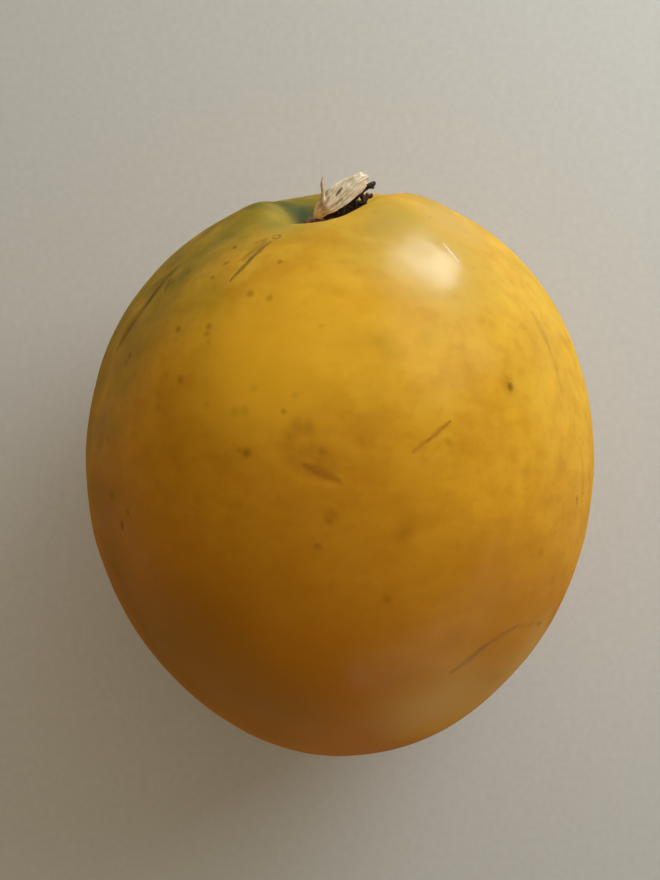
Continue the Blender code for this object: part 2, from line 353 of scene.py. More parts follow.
def pushSkin(skin, where, reach, height):
    place, normal = skinPoint(skin, *where)
    pick(skin)
    bpy.ops.object.mode_set(mode="EDIT")
    bpy.ops.mesh.select_all(action="DESELECT")
    bpy.ops.object.mode_set(mode="OBJECT")
    nearest = min(skin.data.vertices, key=lambda point: (point.co - place).length)
    nearest.select = True
    bpy.ops.object.mode_set(mode="EDIT")
    bpy.ops.transform.translate(
        value=normal * height * mm,
        orient_type="GLOBAL",
        use_proportional_edit=True,
        proportional_edit_falloff="SMOOTH",
        proportional_size=reach * mm,
    )
    bpy.ops.object.mode_set(mode="OBJECT")


# Skin colours, as the paint under the light, and what is drawn on it
rindSettings = {
    "stemEnd": (0.77, 0.475, 0.045),
    "middle": (0.87, 0.44, 0.024),
    "blossomEnd": (0.58, 0.205, 0.007),
    "deepPatch": (0.54, 0.20, 0.006),
    "sunny": (1.0, 0.53, 0.028),
    "olive": (0.29, 0.225, 0.010),
    "darkOlive": (0.125, 0.127, 0.012),
    "lip": (0.33, 0.295, 0.065),
    # dark green of the stem hollow, darkened as painted shade in the recess
    "hollowGreenShade": (0.055, 0.072, 0.020),
    # painted shade: darker paint that tones down the lit shoulder round the window's highlight
    "shoulder": (0.56, 0.36, 0.050),
    # painted sheen: a paler, bluer tint for the whitish haze by the highlight, over paint darkened as
    # painted shade
    "shoulderSheen": (0.60, 0.385, 0.095),
    # painted shade for the lower-left limb, which faces away from the light
    "shade": (0.36, 0.160, 0.010),
    # painted sheen: a pale greyish tint for the floor's reflection on the lower right
    "paintedSheen": (0.84, 0.52, 0.15),
    "markShade": (0.36, 0.33, 0.16),  # a mark lets this much of the colour under it through
    "greyScar": (0.20, 0.130, 0.030),
    "limbScar": (0.10, 0.070, 0.016),
    "rustScar": (0.40, 0.145, 0.010),
    "mauveScar": (0.32, 0.145, 0.045),
    # colour of the painted highlight line in the window's reflection
    "shineColour": (0.95, 0.88, 0.72),
    "roughness": (0.22, 0.35),
    "rimRoughness": 0.55,
    "scarRoughness": 0.4,
    "specular": 0.08,
    "stemWay": (0.30, 0.95, 0.0),
    "stemFade": (26.0, 0.0),  # where each change of colour starts and ends along that way, mm
    "blossomFade": (10.0, -24.0),
    # how a point is shaken, size and amount in mm
    "shaken": (1.1, 0.7),
    "drifting": (8.0, 5.0),
    "steady": (1.2, 0.3),
    # patches all over: point that they follow, width mm, detail, low, high, strength, colour
    "layers": (
        ("drifting", (8.0, 4.0, 0.40, 0.72), 0.34, "deepPatch"),
        ("smeared", (2.6, 5.0, 0.38, 0.74), 0.34, "deepPatch"),
        ("smeared", (4.1, 4.0, 0.48, 0.80), 0.34, "sunny"),
        ("shaken", (1.5, 3.0, 0.46, 0.80), 0.28, "deepPatch"),
    ),
    "veins": (3.2, 4.0, 0.25, 0.66),
    "waxPatches": (5.0, 5.0, 0.3, 0.7),
    # large soft tints: picture place, radius mm, strength, colour; the shade tints are painted shade along
    # the lower-left limb, away from the light
    "tints": (
        ((262, 368), 14.0, 0.90, "sunny"), ((300, 300), 9.0, 0.25, "sunny"),
        # the shoulder tints are painted shade on the lit shoulder round the highlight, and the pale
        # shoulder tint adds painted sheen
        ((375, 335), 12.0, 0.40, "sunny"), ((432, 256), 13.0, 0.95, "shoulder"),
        ((404, 214), 9.0, 0.80, "shoulder"), ((455, 222), 9.0, 0.80, "shoulderSheen"),
        ((522, 268), 7.0, 0.30, "shoulder"), ((350, 236), 9.0, 0.12, "olive"),
        ((392, 212), 7.0, 0.26, "olive"), ((190, 645), 16.0, 0.70, "shade"),
        ((268, 706), 13.5, 0.68, "shade"), ((545, 585), 11.0, 0.38, "deepPatch"),
        ((120, 520), 11.0, 0.45, "deepPatch"), ((380, 500), 9.0, 0.22, "deepPatch"),
        ((100, 500), 8.0, 0.45, "shade"), ((118, 575), 9.0, 0.60, "shade"),
        ((150, 638), 9.0, 0.60, "shade"), ((200, 694), 9.0, 0.55, "shade"),
        ((265, 734), 8.0, 0.45, "shade"), ((445, 722), 11.0, 0.55, "middle"),
        # painted sheen of the floor's reflection on the lower right
        ((502, 684), 13.0, 0.58, "paintedSheen"), ((440, 700), 12.0, 0.60, "paintedSheen"),
        ((532, 646), 8.0, 0.35, "paintedSheen"), ((425, 740), 7.0, 0.30, "paintedSheen"),
        ((500, 598), 9.0, 0.30, "deepPatch"), ((482, 572), 9.0, 0.30, "deepPatch"),
        ((385, 332), 3.2, 0.20, "olive"), ((394, 345), 2.4, 0.20, "olive"),
        ((426, 332), 2.6, 0.16, "olive"),
    ),
    # green wash over the shoulder: place in the picture or in mm from the middle, radius mm, strength
    "wash": (
        ((314, 198), 6.5, 0.70), ((296, 230), 5.0, 0.45), ((282, 218), 8.0, 0.95),
        ((258, 220), 9.5, 0.95), ((234, 232), 9.5, 0.95), ((208, 248), 9.5, 0.94),
        ((184, 270), 9.5, 0.86), ((160, 302), 9.0, 0.72), ((138, 336), 8.5, 0.62),
        ((120, 373), 8.0, 0.48), ((106, 420), 7.0, 0.36), ((200, 298), 8.0, 0.40),
        ((215, 226), 7.0, 0.80), ((180, 252), 7.0, 0.85), ((148, 286), 8.0, 0.85),
        ((120, 326), 8.5, 0.80), ((100, 376), 8.5, 0.66), ((91, 430), 8.0, 0.46), ((88, 480), 7.0, 0.26),
        ((-8, 34, 14), 8.0, 0.90), ((-2, 36.5, 11), 8.0, 0.86), ((5, 36, 12), 7.0, 0.75),
        ((11, 33.5, 15), 6.0, 0.55), ((-16, 32, 10), 9.0, 0.92), ((-23, 27, 10), 9.0, 0.90),
        ((-28, 20, 10), 9.0, 0.80), ((-32, 12, 8), 9.0, 0.65), ((-12, 37, 2), 8.0, 0.55),
        ((0, 39.5, 3), 8.0, 0.50), ((-24, 29, 0), 8.0, 0.45), ((10, 36, 6), 7.0, 0.40),
    ),
    "edge": (
        ((300, 199), 5.0, 0.92), ((280, 203), 4.6, 1.0), ((270, 202), 4.8, 1.0), ((262, 204), 3.6, 0.9),
        ((232, 217), 3.6, 0.45), ((205, 233), 3.6, 0.40), ((176, 260), 4.0, 0.50),
        ((160, 280), 3.5, 0.55), ((240, 240), 2.2, 0.30), ((222, 244), 1.9, 0.30),
        ((205, 252), 2.6, 0.40), ((190, 268), 2.4, 0.30), ((169, 276), 2.6, 0.70),
        ((228, 238), 2.2, 0.35), ((-10, 33, 14.5), 4.6, 0.70), ((-4, 35.5, 13), 4.2, 0.75),
        ((2, 36, 13), 4.0, 0.60), ((-17, 31.5, 11.5), 4.0, 0.45),
    ),
    "lips": (
        ((284, 216), 2.4, 0.50), ((292, 221), 2.0, 0.70), ((282, 226), 3.2, 0.45), ((270, 221), 3.2, 0.30),
    ),
    # spots in the stem hollow, the green skin there darkened with painted shade
    "hollow": (
        ((303, 215), 4.4, 1.0), ((299, 207), 4.2, 0.65), ((310, 210), 3.2, 0.45), ((303, 221), 3.0, 1.0),
        ((290, 205), 3.6, 0.55),
    ),
    # dots: place in the picture or in mm from the middle, radius mm, strength
    "dots": (
        ((265, 240), 0.75, 0.45), ((234, 248), 0.55, 0.75), ((225, 264), 0.60, 0.60),
        ((212, 278), 0.55, 0.55), ((279, 262), 0.60, 0.55), ((250, 294), 0.80, 0.55),
        ((269, 298), 0.75, 0.40), ((178, 330), 0.80, 0.60), ((208, 327), 0.75, 0.50),
        ((206, 334), 0.85, 0.35), ((130, 356), 0.75, 0.70), ((126, 362), 0.80, 0.40),
        ((180, 380), 0.90, 0.45), ((253, 388), 0.80, 0.22), ((283, 412), 0.60, 0.45),
        ((244, 411), 1.10, 0.24), ((235, 412), 1.20, 0.24), ((321, 326), 0.60, 0.20),
        ((246, 453), 0.90, 0.62), ((239, 451), 0.60, 0.30), ((510, 387), 0.95, 1.00),
        ((509, 386), 1.60, 0.35), ((329, 521), 1.00, 0.42), ((331, 517), 1.40, 0.28),
        ((406, 520), 1.90, 0.16), ((403, 534), 2.00, 0.22), ((317, 547), 0.75, 0.35),
        ((331, 586), 0.80, 0.20), ((387, 600), 1.00, 0.30), ((122, 524), 0.90, 0.70),
        ((123, 527), 0.50, 0.80), ((128, 512), 0.60, 0.50), ((112, 495), 1.20, 0.30),
        ((577, 499), 0.70, 0.60), ((577, 502), 0.80, 0.40), ((539, 624), 0.70, 0.60),
        ((526, 471), 1.40, 0.20), ((448, 442), 0.90, 0.30), ((172, 283), 0.90, 0.45),
        ((178, 257), 0.60, 0.65), ((321, 452), 0.90, 0.26), ((304, 452), 1.60, 0.12),
        ((108, 440), 0.80, 0.35), ((208, 342), 0.70, 0.20), ((295, 395), 0.70, 0.18),
        ((286, 262), 0.45, 0.25), ((189, 272), 0.80, 0.35), ((158, 408), 0.80, 0.28),
        ((206, 405), 0.80, 0.22), ((552, 581), 1.10, 0.22), ((541, 553), 1.20, 0.20),
        ((430, 217), 0.40, 0.40), ((228, 262), 0.35, 0.45), ((262, 241), 0.60, 0.50),
        ((257, 243), 0.50, 0.40), ((0.3, -40, -1), 1.6, 0.9), ((30, 8, -22), 0.9, 0.5),
        ((34, -6, -10), 0.7, 0.6), ((-31, -10, -16), 0.8, 0.5), ((-20, 26, -16), 0.9, 0.5),
        ((8, 36, -12), 0.8, 0.5), ((22, 28, -8), 0.7, 0.5), ((12, -34, -14), 0.8, 0.5),
        ((-14, -34, -12), 1.0, 0.4),
    ),
    # a bruise, drawn as soft spots in a bow
    "bruise": (
        ((298, 427), 1.9, 0.42), ((308, 427), 1.7, 0.44), ((291, 436), 1.9, 0.38),
        ((290, 447), 2.0, 0.38), ((293, 458), 2.0, 0.40), ((302, 452), 2.0, 0.32),
        ((312, 451), 1.9, 0.32), ((321, 452), 1.6, 0.26), ((318, 462), 1.8, 0.38),
        ((300, 465), 1.9, 0.38), ((309, 469), 1.8, 0.44), ((330, 470), 2.0, 0.20),
    ),
    # lines: place of both ends, half width mm, strength, colour
    "lines": (
        ((230, 281), (256, 254), 0.60, 0.95, "greyScar"),
        ((248, 261), (270, 242), 0.65, 0.90, "greyScar"),
        ((244, 260), (264, 243), 1.30, 0.45, "greyScar"),
        ((238, 262), (254, 250), 0.50, 0.35, "greyScar"),
        ((170, 274), (142, 312), 1.90, 0.60, "greyScar"),
        ((150, 300), (118, 348), 2.60, 0.55, "greyScar"),
        ((163, 282), (144, 309), 0.60, 0.90, "limbScar"),
        ((140, 314), (121, 344), 1.00, 0.50, "limbScar"),
        ((171, 278), (165, 291), 0.80, 0.50, "limbScar"),
        ((450, 422), (427, 442), 0.62, 0.62, "rustScar"),
        ((431, 438), (412, 453), 0.62, 0.50, "rustScar"),
        ((304, 467), (338, 482), 1.30, 0.60, "rustScar"),
        ((314, 472), (334, 480), 0.60, 0.45, "rustScar"),
        ((533, 314), (549, 346), 1.50, 0.45, "mauveScar"),
        ((550, 350), (563, 396), 1.30, 0.22, "mauveScar"),
        ((451, 673), (487, 645), 1.10, 0.60, "mauveScar"),
        ((480, 649), (518, 625), 1.00, 0.55, "mauveScar"),
        ((515, 627), (541, 622), 0.80, 0.30, "mauveScar"),
        ((582, 455), (580, 520), 0.80, 0.30, "rustScar"),
    ),
    # where the wax is dull, a small dark ring and a painted highlight line along a small ridge
    "dullSpots": (((388, 206), 8.0, 1.0), ((396, 222), 5.0, 0.8), ((383, 226), 6.0, 0.7)),
    "ring": ((276, 237), 0.85, 0.55),
    "shine": ((443, 243), (459, 263), 0.33, 0.80),
}


def strongest(tree, place, masks):
    # where several marks meet, the strongest one counts
    total = masks[0]
    for number, mask in enumerate(masks[1:]):
        total = doMath(tree, "MAXIMUM", (place[0], place[1] - number), total, mask)
    return total


def drawSpot(tree, place, skin, point, spot, softness):
    where, radius, strength = spot
    settings = {
        "Point": point,
        "Middle": markPlace(skin, where),
        "Radius": radius * mm,
        "Softness": softness,
        "Strength": strength,
    }
    return useGroup(tree, spotGroup, place, settings)


def drawSpots(tree, place, skin, point, spots, softness):
    column, row = place
    masks = [
        drawSpot(tree, (column, row - number), skin, point, spot, softness)
        for number, spot in enumerate(spots)
    ]
    return strongest(tree, (column + 1, row), masks)


def drawLine(tree, place, skin, point, line):
    first, last, width, strength = line
    settings = {
        "Point": point,
        "Start": markPlace(skin, first),
        "End": markPlace(skin, last),
        "Width": width * mm,
        "Strength": strength,
    }
    return useGroup(tree, scratchGroup, place, settings)


def makeRind(skin):
    rind, tree, shader = newMaterial("rind")
    paints = rindSettings
    point = addNode(tree, "ShaderNodeTexCoord", (-14, 0)).outputs["Object"]
    shaken = wobbly(tree, (-13, 0), point, paints["shaken"])
    drifting = wobbly(tree, (-13, -2), point, paints["drifting"])
    steady = wobbly(tree, (-13, -3), point, paints["steady"])

    # yellow at the stem end, deeper towards the other end
    height = vectorMath(tree, "DOT_PRODUCT", (-13, 2), drifting, paints["stemWay"]).outputs["Value"]
    upper = mapRange(tree, (-12, 3), height, *[value * mm for value in paints["stemFade"]])
    lower = mapRange(tree, (-12, 2), height, *[value * mm for value in paints["blossomFade"]])
    colour = mixColour(tree, (-11, 3), upper, paints["stemEnd"], paints["middle"])
    colour = mixColour(tree, (-10, 3), lower, colour, paints["blossomEnd"])

    # soft patches, smudges across the fruit and fine specks, the sunny ones only towards the stem
    stretch = {"Vector": shaken, "Scale": (0.5, 1.0, 1.0)}
    smeared = addNode(tree, "ShaderNodeMapping", (-13, 1), stretch).outputs[0]
    notLower = doMath(tree, "SUBTRACT", (-12, -3), 1.0, lower, clamp=True)
    points = {"shaken": shaken, "drifting": drifting, "smeared": smeared}
    for number, (name, look, strength, paint) in enumerate(paints["layers"]):
        mask = patchy(tree, (-12, 1 - number), points[name], look)
        if paint == "sunny":
            mask = doMath(tree, "MULTIPLY", (-11, 1 - number), mask, notLower)
        share = doMath(tree, "MULTIPLY", (-10 + number, 1), mask, strength)
        colour = mixColour(tree, (-9 + number, 3), share, colour, paints[paint])
    for number, (*spot, paint) in enumerate(paints["tints"]):
        mask = drawSpot(tree, (-12, -4 - number), skin, drifting, spot, 1.0)
        colour = mixColour(tree, (-5, 4 + number), mask, colour, paints[paint])

    # green wash over the shoulder, darkest at the rim of the hollow
    veins = patchy(tree, (-6, 0), smeared, paints["veins"])
    uneven = mapRange(tree, (-5, 0), veins, 0.0, 1.0, least=0.62)
    shades = (
        ("wash", drifting, 0.85, "olive"),
        ("edge", drifting, 0.9, "darkOlive"),
        ("lips", shaken, 0.9, "lip"),
    )
    for number, (name, where, softness, paint) in enumerate(shades):
        mask = drawSpots(tree, (-9 + 2 * number, -4), skin, where, paints[name], softness)
        share = doMath(tree, "MULTIPLY", (-4 + number, 1), mask, uneven, clamp=True)
        colour = mixColour(tree, (-3 + number, 3), share, colour, paints[paint])
    # the stem hollow painted dark green, part the green skin and part painted shade
    hollow = drawSpots(tree, (-3, -4), skin, shaken, paints["hollow"], 0.95)
    colour = mixColour(tree, (0, 3), hollow, colour, paints["hollowGreenShade"])

    # dots and scars
    dots = drawSpots(tree, (-1, -4), skin, steady, paints["dots"], 1.0)
    where, radius, strength = paints["ring"]
    disc = drawSpot(tree, (1, -2), skin, steady, (where, radius, 1.0), 1.0)
    fromRing = doMath(tree, "ABSOLUTE", (1, -3), doMath(tree, "SUBTRACT", (1, -3), disc, 0.45))
    ring = mapRange(tree, (2, -2), fromRing, 0.42, 0.08, most=strength)
    dots = doMath(tree, "MAXIMUM", (3, -2), dots, ring)
    colour = mixColour(tree, (4, 3), dots, colour, paints["markShade"], "MULTIPLY")
    bruise = drawSpots(tree, (3, -4), skin, shaken, paints["bruise"], 1.0)
    colour = mixColour(tree, (5, 3), bruise, colour, paints["rustScar"])
    lines = []
    for number, (*line, paint) in enumerate(paints["lines"]):
        mask = drawLine(tree, (1, -4 - number), skin, steady, line)
        grainy = doMath(tree, "MULTIPLY", (2, -4 - number), mask, uneven)
        colour = mixColour(tree, (5, 4 + number), grainy, colour, paints[paint])
        lines.append(mask)
    scarred = strongest(tree, (4, -4), lines)
    # painted highlight line along a small ridge at the edge of the window's reflection, the ridge also
    # raised in the bump
    shine = drawLine(tree, (4, -1), skin, point, paints["shine"])
    colour = mixColour(tree, (6, 3), shine, colour, paints["shineColour"])
    tree.links.new(colour, shader.inputs["Base Color"])

    # wax, duller where it is scarred, in the hollow and seen along the rim
    wax = patchy(tree, (2, 0), point, paints["waxPatches"])
    roughness = mapRange(tree, (3, 0), wax, 0.0, 1.0, *paints["roughness"])
    dulled = drawSpots(tree, (3, -6), skin, point, paints["dullSpots"], 0.8)
    dulled = doMath(tree, "MAXIMUM", (4, -1), doMath(tree, "MAXIMUM", (4, 0), scarred, hollow), dulled)
    dullness = doMath(tree, "MULTIPLY", (5, -1), dulled, paints["scarRoughness"])
    facing = addNode(tree, "ShaderNodeLayerWeight", (4, 1), {"Blend": 0.5}).outputs["Facing"]
    rim = mapRange(tree, (5, 1), facing, 0.45, 1.0, most=paints["rimRoughness"])
    roughness = doMath(tree, "ADD", (6, 0), roughness, dullness)
    tree.links.new(doMath(tree, "ADD", (6, 1), roughness, rim, clamp=True), shader.inputs["Roughness"])
    pores = addNoise(tree, (3, 1), point, 1300.0, 3.0)
    fineBump = addBump(tree, (5, 1), pores.outputs["Fac"], 0.12, 0.1)
    marksDown = doMath(tree, "SUBTRACT", (5, -2), shine, doMath(tree, "MAXIMUM", (4, -2), scarred, dots))
    tree.links.new(addBump(tree, (6, -2), marksDown, 0.7, 0.12, fineBump), shader.inputs["Normal"])
    shader.inputs["Specular IOR Level"].default_value = paints["specular"]
    return rind


fruitSkin = makeSkin()
fruitSkin.data.materials.append(makeRind(fruitSkin))
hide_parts("fruit")
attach(fruitSkin, "root")
print("fruit skin made")


# Dried flower
stalkSettings = {
    # mm from the middle of the fruit, with a half width in mm
    "stations": (
        (-0.95, 29.9, 15.2, 1.0), (-1.7, 30.8, 16.0, 0.85), (-2.7, 31.6, 16.8, 0.72),
        (-3.5, 32.1, 17.4, 0.85), (-3.75, 32.75, 18.2, 0.97), (-3.1, 32.75, 18.5, 0.78),
        (-2.2, 32.85, 18.6, 0.55), (-1.2, 33.1, 18.7, 0.35),
    ),
    "colour": (0.27, 0.145, 0.098),
    "crust": (0.065, 0.028, 0.020),
    "crustPatches": (0.7, 4.0, 0.42, 0.66),
    "roughness": 0.7,
    "reliefs": ((0.8, 0.30), (0.25, 0.08)),
}
calyxSettings = {
    # places in the picture, with mm above the middle of the fruit and a half width in mm
    "cup": (
        (316.5, 215.5, 19.0, 0.45), (318.5, 213.5, 19.5, 0.75), (321, 210.5, 19.9, 0.85),
        (324.5, 207, 20.1, 0.8), (329, 203, 20.2, 0.6), (333, 200, 20.2, 0.35),
    ),
    # strips of dried sepal: such places, tilt in degrees, how ragged the tip is in mm
    "strips": (
        (((317.5, 214, 20.0, 0.32), (322, 209.5, 20.8, 0.42), (336, 199.5, 21.1, 0.6),
          (350, 188, 21.4, 0.68), (362, 179, 21.5, 0.66), (368.5, 176, 21.4, 0.45)), 8, 0.4),
        (((318.5, 215, 19.9, 0.3), (324, 211, 20.7, 0.36), (338, 203, 20.9, 0.42),
          (352, 191.5, 21.2, 0.5), (366, 181, 21.2, 0.45)), -16, 0.5),
        (((319.5, 216.2, 19.7, 0.28), (326, 212.5, 20.3, 0.34), (338, 206.5, 20.8, 0.42),
          (350, 197.5, 21.0, 0.44), (361, 189, 21.1, 0.4), (366, 184.5, 21.1, 0.2)), -4, 0.4),
        (((320, 217.0, 19.4, 0.25), (327, 213.2, 19.9, 0.3), (335, 208.6, 20.2, 0.34),
          (345, 202.4, 20.5, 0.38), (353.0, 197.8, 20.6, 0.25)), -30, 0.5),
        (((316, 212, 20.1, 0.3), (321, 205.5, 20.8, 0.42), (327.5, 197.5, 20.9, 0.46),
          (334.2, 189, 21.0, 0.5), (343, 182.5, 21.0, 0.42), (352, 176.5, 21.1, 0.15)), 14, 0.3),
        (((315, 210.5, 19.8, 0.28), (319, 204.5, 20.5, 0.36), (324.5, 197.5, 20.6, 0.42),
          (330, 191.5, 20.8, 0.4), (336, 186.5, 20.8, 0.2)), 24, 0.3),
        (((323, 206.5, 20.9, 0.2), (331, 198.5, 21.1, 0.26), (341, 189.0, 21.3, 0.32),
          (352, 179.2, 21.4, 0.38), (361, 174.3, 21.4, 0.3), (366, 172.8, 21.4, 0.12)), 24, 0.3),
        (((321, 212.5, 20.7, 0.12), (330, 204.5, 21.2, 0.16), (343, 194.2, 21.4, 0.18),
          (356, 184.6, 21.5, 0.16), (365, 178.5, 21.6, 0.08)), 0, 0.2),
        (((323, 214.5, 20.3, 0.12), (333, 208.0, 21.0, 0.14), (345, 199.0, 21.2, 0.16),
          (356, 189.8, 21.3, 0.12), (363, 184.0, 21.3, 0.08)), -8, 0.2),
        (((323, 211, 19.2, 0.55), (336.5, 203.5, 19.4, 0.8), (349, 194.5, 19.7, 0.85),
          (360.5, 186.5, 20.0, 0.4)), 168, 0.5),
        (((320, 207, 19.3, 0.5), (332, 198, 19.5, 0.9), (345, 188.5, 19.9, 0.9),
          (357, 180.5, 20.4, 0.45)), 184, 0.5),
    ),
    "sliver": (
        (320, 211, 20.3, 0.30), (323.6, 203, 21.0, 0.36), (323.0, 193, 21.1, 0.36),
        (322.2, 184, 21.1, 0.28), (322.6, 176.2, 21.1, 0.08),
    ),
    # painted lines on the strips: painted shade in the slit between strips and along creases and joins, and
    # painted gleams; picture place of both ends, half width mm, strength, colour
    "shadeAndGleamLines": (
        ((336, 195.8), (342, 187.6), 0.34, 1.0, "slitShadow"),
        ((346, 182.8), (353.5, 176.5), 0.24, 0.55, "creaseShade"),
        ((325, 204), (329.5, 197), 0.40, 0.70, "creaseShade"),
        ((323.5, 213.5), (333, 204.5), 0.40, 0.45, "creaseShade"),
        ((329, 209.5), (343, 198.5), 0.28, 0.55, "creaseShade"),
        ((341, 203), (353, 193.5), 0.25, 0.50, "creaseShade"),
        ((317.5, 209), (322, 203.5), 0.45, 0.45, "creaseShade"),
        ((331, 192.5), (334.5, 188), 0.25, 0.40, "creaseShade"),
        ((350, 192.5), (360, 183), 0.46, 1.0, "gleam"), ((337, 198.5), (348, 187.5), 0.30, 0.70, "gleam"),
        ((355, 173.5), (368, 178.5), 0.95, 0.42, "creaseShade"),
        ((345, 203), (354, 195.5), 0.24, 0.50, "gleam"),
    ),
    # painted shade in the gap between strips, and along creases and joins
    "slitShadow": (0.090, 0.050, 0.028),
    "creaseShade": (0.30, 0.165, 0.085),
    "gleam": (1.0, 0.97, 0.88),
    "ribs": 3,
    "ribHeight": 0.15,
    "arch": 0.55,
    "thickness": 0.15,
    "frayed": (0.7, 0.16, -0.25, 1.0),  # length mm, width of a fibre mm, shortest and longest share
    "seed": 5,
    "reliefs": ((1.1, 0.25), (0.35, 0.07)),
}
paperSettings = {
    "grain": -35,  # degrees
    "stretch": (0.12, 1.0, 1.0),
    "fibres": (0.34, 4.0, 0.20, 0.45),
    "fibreColours": ((0.74, 0.54, 0.36), (1.0, 0.90, 0.70)),
    # what lies over the fibres: patches, strength, colour
    "bands": ((0.9, 3.0, 0.35, 0.65), 0.4, (0.98, 0.76, 0.54)),
    "stains": ((2.2, 3.0, 0.54, 0.76), 0.35, (0.42, 0.26, 0.14)),
    # the foot, pinkish and painted lighter where the cup lies in shade, and the tan sliver: places in the
    # picture with mm above the middle
    "foot": ((319, 212, 19.8), 3.1, 0.9),
    "footPinkAndPaintedLight": (1.0, 0.76, 0.64),
    "sliver": ((324.0, 209, 21.0), (322.5, 172, 21.1), 1.4, 0.95),
    "sliverColour": (0.45, 0.28, 0.115),
    "roughness": 0.42,
}
coronaSettings = {
    "threads": (  # places as in the calyx
        ((323, 217.6, 18.5, 0.3), (331, 215.2, 18.8, 0.48), (341, 210.8, 18.9, 0.55),
         (350, 207.6, 19.1, 0.5), (359, 205, 19.2, 0.34)),
        ((352, 207, 19.1, 0.4), (360, 205, 19.3, 0.36), (364, 200, 19.6, 0.38),
         (371, 195.5, 19.8, 0.34), (373, 194.5, 19.9, 0.2)),
        ((347, 206, 19.2, 0.3), (355, 199.5, 19.9, 0.20), (361.5, 194, 20.3, 0.20),
         (366, 188, 20.6, 0.42), (371, 185, 20.8, 0.40), (376, 182.5, 20.9, 0.2)),
        ((367, 186.5, 20.6, 0.3), (371, 186.5, 20.7, 0.34), (374, 187.5, 20.7, 0.22)),
        ((334, 214, 18.6, 0.3), (339, 216, 18.2, 0.3), (346, 212, 18.0, 0.28), (351, 211, 18.1, 0.2)),
        ((338, 211, 18.6, 0.3), (341, 205, 18.0, 0.28), (349, 203, 17.4, 0.26), (354, 198, 17.2, 0.2)),
        ((333, 212, 18.5, 0.3), (335, 206, 17.8, 0.28), (340, 200, 17.3, 0.26), (346, 195, 17.1, 0.18)),
        ((347, 208, 18.9, 0.3), (354, 210, 18.4, 0.28), (361, 208, 18.0, 0.2)),
        ((328, 214, 18.5, 0.28), (329, 209, 18.0, 0.26), (333, 202, 17.6, 0.2)),
        ((326, 215, 18.6, 0.3), (331, 212.5, 19.4, 0.26), (338, 208.5, 19.9, 0.24),
         (345, 206, 20.1, 0.16)),
    ),
    "crumbs": 34,
    "crumbSize": (0.22, 0.5),  # mm
    "crumbStretch": (0.6, 1.5),
    "scatter": 0.5,  # mm
    "seed": 12,
    "reliefs": ((0.5, 0.35), (0.2, 0.10)),
    "dark": (0.026, 0.014, 0.010),
    "rust": ((0.9, 3.0, 0.50, 0.66), (0.15, 0.062, 0.026)),
    "dust": ((0.4, 4.0, 0.52, 0.70), 0.5, (0.16, 0.13, 0.09)),
    "roughness": 0.75,
}


def middlePoint(x, y, z):
    return fruitMiddle + Vector((x, y, z)) * mm


def growCurve(name, stations, tilts=None, profile=None, rounded=3):
    # a smooth curve through the stations, as thick as each one says
    clearSelection()
    bpy.ops.curve.primitive_bezier_curve_add(location=(0, 0, 0))
    piece = bpy.context.object
    piece.name = name
    bpy.ops.object.mode_set(mode="EDIT")
    bpy.ops.curve.subdivide(number_cuts=len(stations) - 2)
    bpy.ops.object.mode_set(mode="OBJECT")
    data = piece.data
    data.twist_mode = "Z_UP"
    data.resolution_u = 6
    data.use_fill_caps = True
    if profile:
        data.bevel_mode = "OBJECT"
        data.bevel_object = profile
    else:
        data.bevel_depth = mm
        data.bevel_resolution = rounded
    for number, (place, halfWidth) in enumerate(stations):
        knot = data.splines[0].bezier_points[number]
        knot.handle_left_type = knot.handle_right_type = "AUTO"
        knot.co = place
        knot.radius = halfWidth
        knot.tilt = math.radians(tilts[number] if tilts else 0)
    pick(piece)
    bpy.ops.object.convert(target="MESH")
    piece = bpy.context.object
    bpy.ops.object.mode_set(mode="EDIT")
    bpy.ops.mesh.select_all(action="SELECT")
    bpy.ops.mesh.remove_doubles(threshold=0.000002)
    bpy.ops.mesh.normals_make_consistent(inside=False)
    bpy.ops.object.mode_set(mode="OBJECT")
    return piece


def fromPicture(stations):
    return [(photoPoint(across, down, lift), halfWidth) for across, down, lift, halfWidth in stations]


def joinPieces(pieces, name):
    clearSelection()
    for piece in pieces:
        piece.select_set(True)
    bpy.context.view_layer.objects.active = pieces[0]
    bpy.ops.object.join()
    joined = bpy.context.object
    joined.name = name
    bpy.ops.object.shade_smooth()
    return joined


def finishPiece(piece, material, nodeName):
    piece.data.materials.clear()
    piece.data.materials.append(material)
    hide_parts(nodeName)
    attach(piece, "root")
    print(f"{piece.name} made")


def makeProfile():
    # the cut through a sepal: an arch with ribs, as thin as dry skin
    count = calyxSettings["ribs"] * 4
    upper = []
    for number in range(count + 1):
        x = 2 * number / count - 1
        rib = calyxSettings["ribHeight"] * math.cos(number * math.pi / 2)
        upper.append((x, calyxSettings["arch"] * (1 - x * x) + rib))
    lower = [(x, y - calyxSettings["thickness"]) for x, y in reversed(upper)]
    data = bpy.data.curves.new("sepalProfile", "CURVE")
    data.dimensions = "2D"
    data.fill_mode = "NONE"
    corners = upper + lower
    spline = data.splines.new("POLY")
    spline.points.add(len(corners) - 1)
    for point, (x, y) in zip(spline.points, corners):
        point.co = (x * mm, y * mm, 0, 1)
    spline.use_cyclic_u = True
    profile = bpy.data.objects.new("sepalProfile", data)
    scene.collection.objects.link(profile)
    return profile


def fray(piece, tip, backwards, length, chance):
    # the fibres of a strip end at different places
    reach, fibreWidth, shortest, longest = calyxSettings["frayed"]
    for point in piece.data.vertices:
        behind = (point.co - tip).dot(backwards)
        if behind < reach * mm:
            side = math.floor((point.co - tip).cross(backwards).z / (fibreWidth * mm))
            chance.seed(side * 7 + 3)
            point.co += backwards * chance.uniform(shortest, longest) * length * mm


